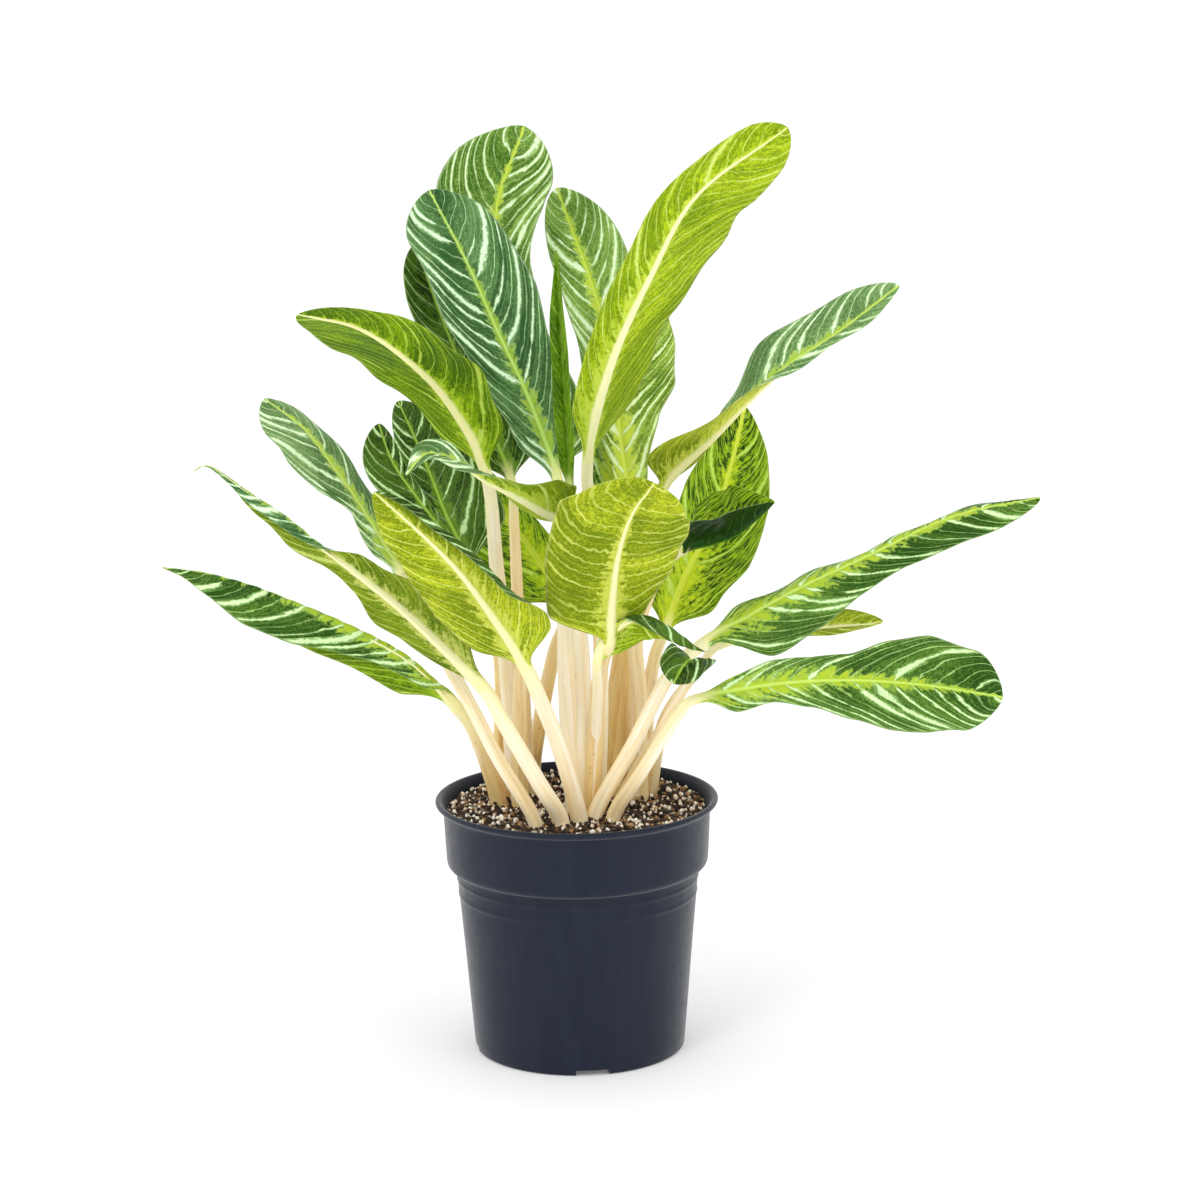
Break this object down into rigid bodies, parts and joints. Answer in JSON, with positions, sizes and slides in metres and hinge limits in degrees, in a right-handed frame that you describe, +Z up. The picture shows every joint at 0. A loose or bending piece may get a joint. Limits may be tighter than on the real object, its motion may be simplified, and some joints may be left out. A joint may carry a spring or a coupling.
{
  "type": "potted chinese evergreen",
  "caption": "Leafy house plant growing in a round tapered nursery pot: long variegated leaves on slender pale stalks, planted in potting soil that fills the pot.",
  "frame": {"origin": "middle of the pot's underside, on the pot's axis", "axes": "+Z up along the pot's axis; the pictured side looks towards -Y; +X to the right seen from there"},
  "size_m": [0.5205, 0.3112, 0.5611],
  "materials": {
    "pot_plastic": "satin dark blue-grey",
    "potting_soil": "loose, matt",
    "leaf_new_spear": "satin",
    "leaf_back_tall": "satin",
    "leaf_left_tall": "satin",
    "leaf_right_lime": "satin",
    "leaf_front_arch": "satin",
    "leaf_front_cup": "satin",
    "leaf_front_rolled": "satin",
    "leaf_right_oval": "satin",
    "leaf_right_twist": "satin",
    "leaf_right_folded": "satin",
    "leaf_back_right": "satin",
    "leaf_back_center": "satin",
    "leaf_right_hidden": "satin",
    "leaf_right_long": "satin",
    "leaf_right_low": "satin",
    "leaf_right_crumpled": "satin",
    "leaf_left_front": "satin",
    "leaf_left_curled": "satin",
    "leaf_left_upper": "satin",
    "leaf_left_low": "satin",
    "leaf_left_lime": "satin",
    "leaf_left_inner": "satin",
    "leaf_left_dark": "satin",
    "leaf_left_back": "satin",
    "leaf_back_left": "satin"
  },
  "bodies": {
    "root": {"pot": "pot_plastic", "soil": "potting_soil", "leaf_new_spear": "leaf_new_spear", "leaf_back_tall": "leaf_back_tall", "leaf_left_tall": "leaf_left_tall", "leaf_right_lime": "leaf_right_lime", "leaf_front_arch": "leaf_front_arch", "leaf_front_cup": "leaf_front_cup", "leaf_front_rolled": "leaf_front_rolled", "leaf_right_oval": "leaf_right_oval", "leaf_right_twist": "leaf_right_twist", "leaf_right_folded": "leaf_right_folded", "leaf_back_right": "leaf_back_right", "leaf_back_center": "leaf_back_center", "leaf_right_hidden": "leaf_right_hidden", "leaf_right_long": "leaf_right_long", "leaf_right_low": "leaf_right_low", "leaf_right_crumpled": "leaf_right_crumpled", "leaf_left_front": "leaf_left_front", "leaf_left_curled": "leaf_left_curled", "leaf_left_upper": "leaf_left_upper", "leaf_left_low": "leaf_left_low", "leaf_left_lime": "leaf_left_lime", "leaf_left_inner": "leaf_left_inner", "leaf_left_dark": "leaf_left_dark", "leaf_left_back": "leaf_left_back", "leaf_back_left": "leaf_back_left"}
  },
  "joints": []
}
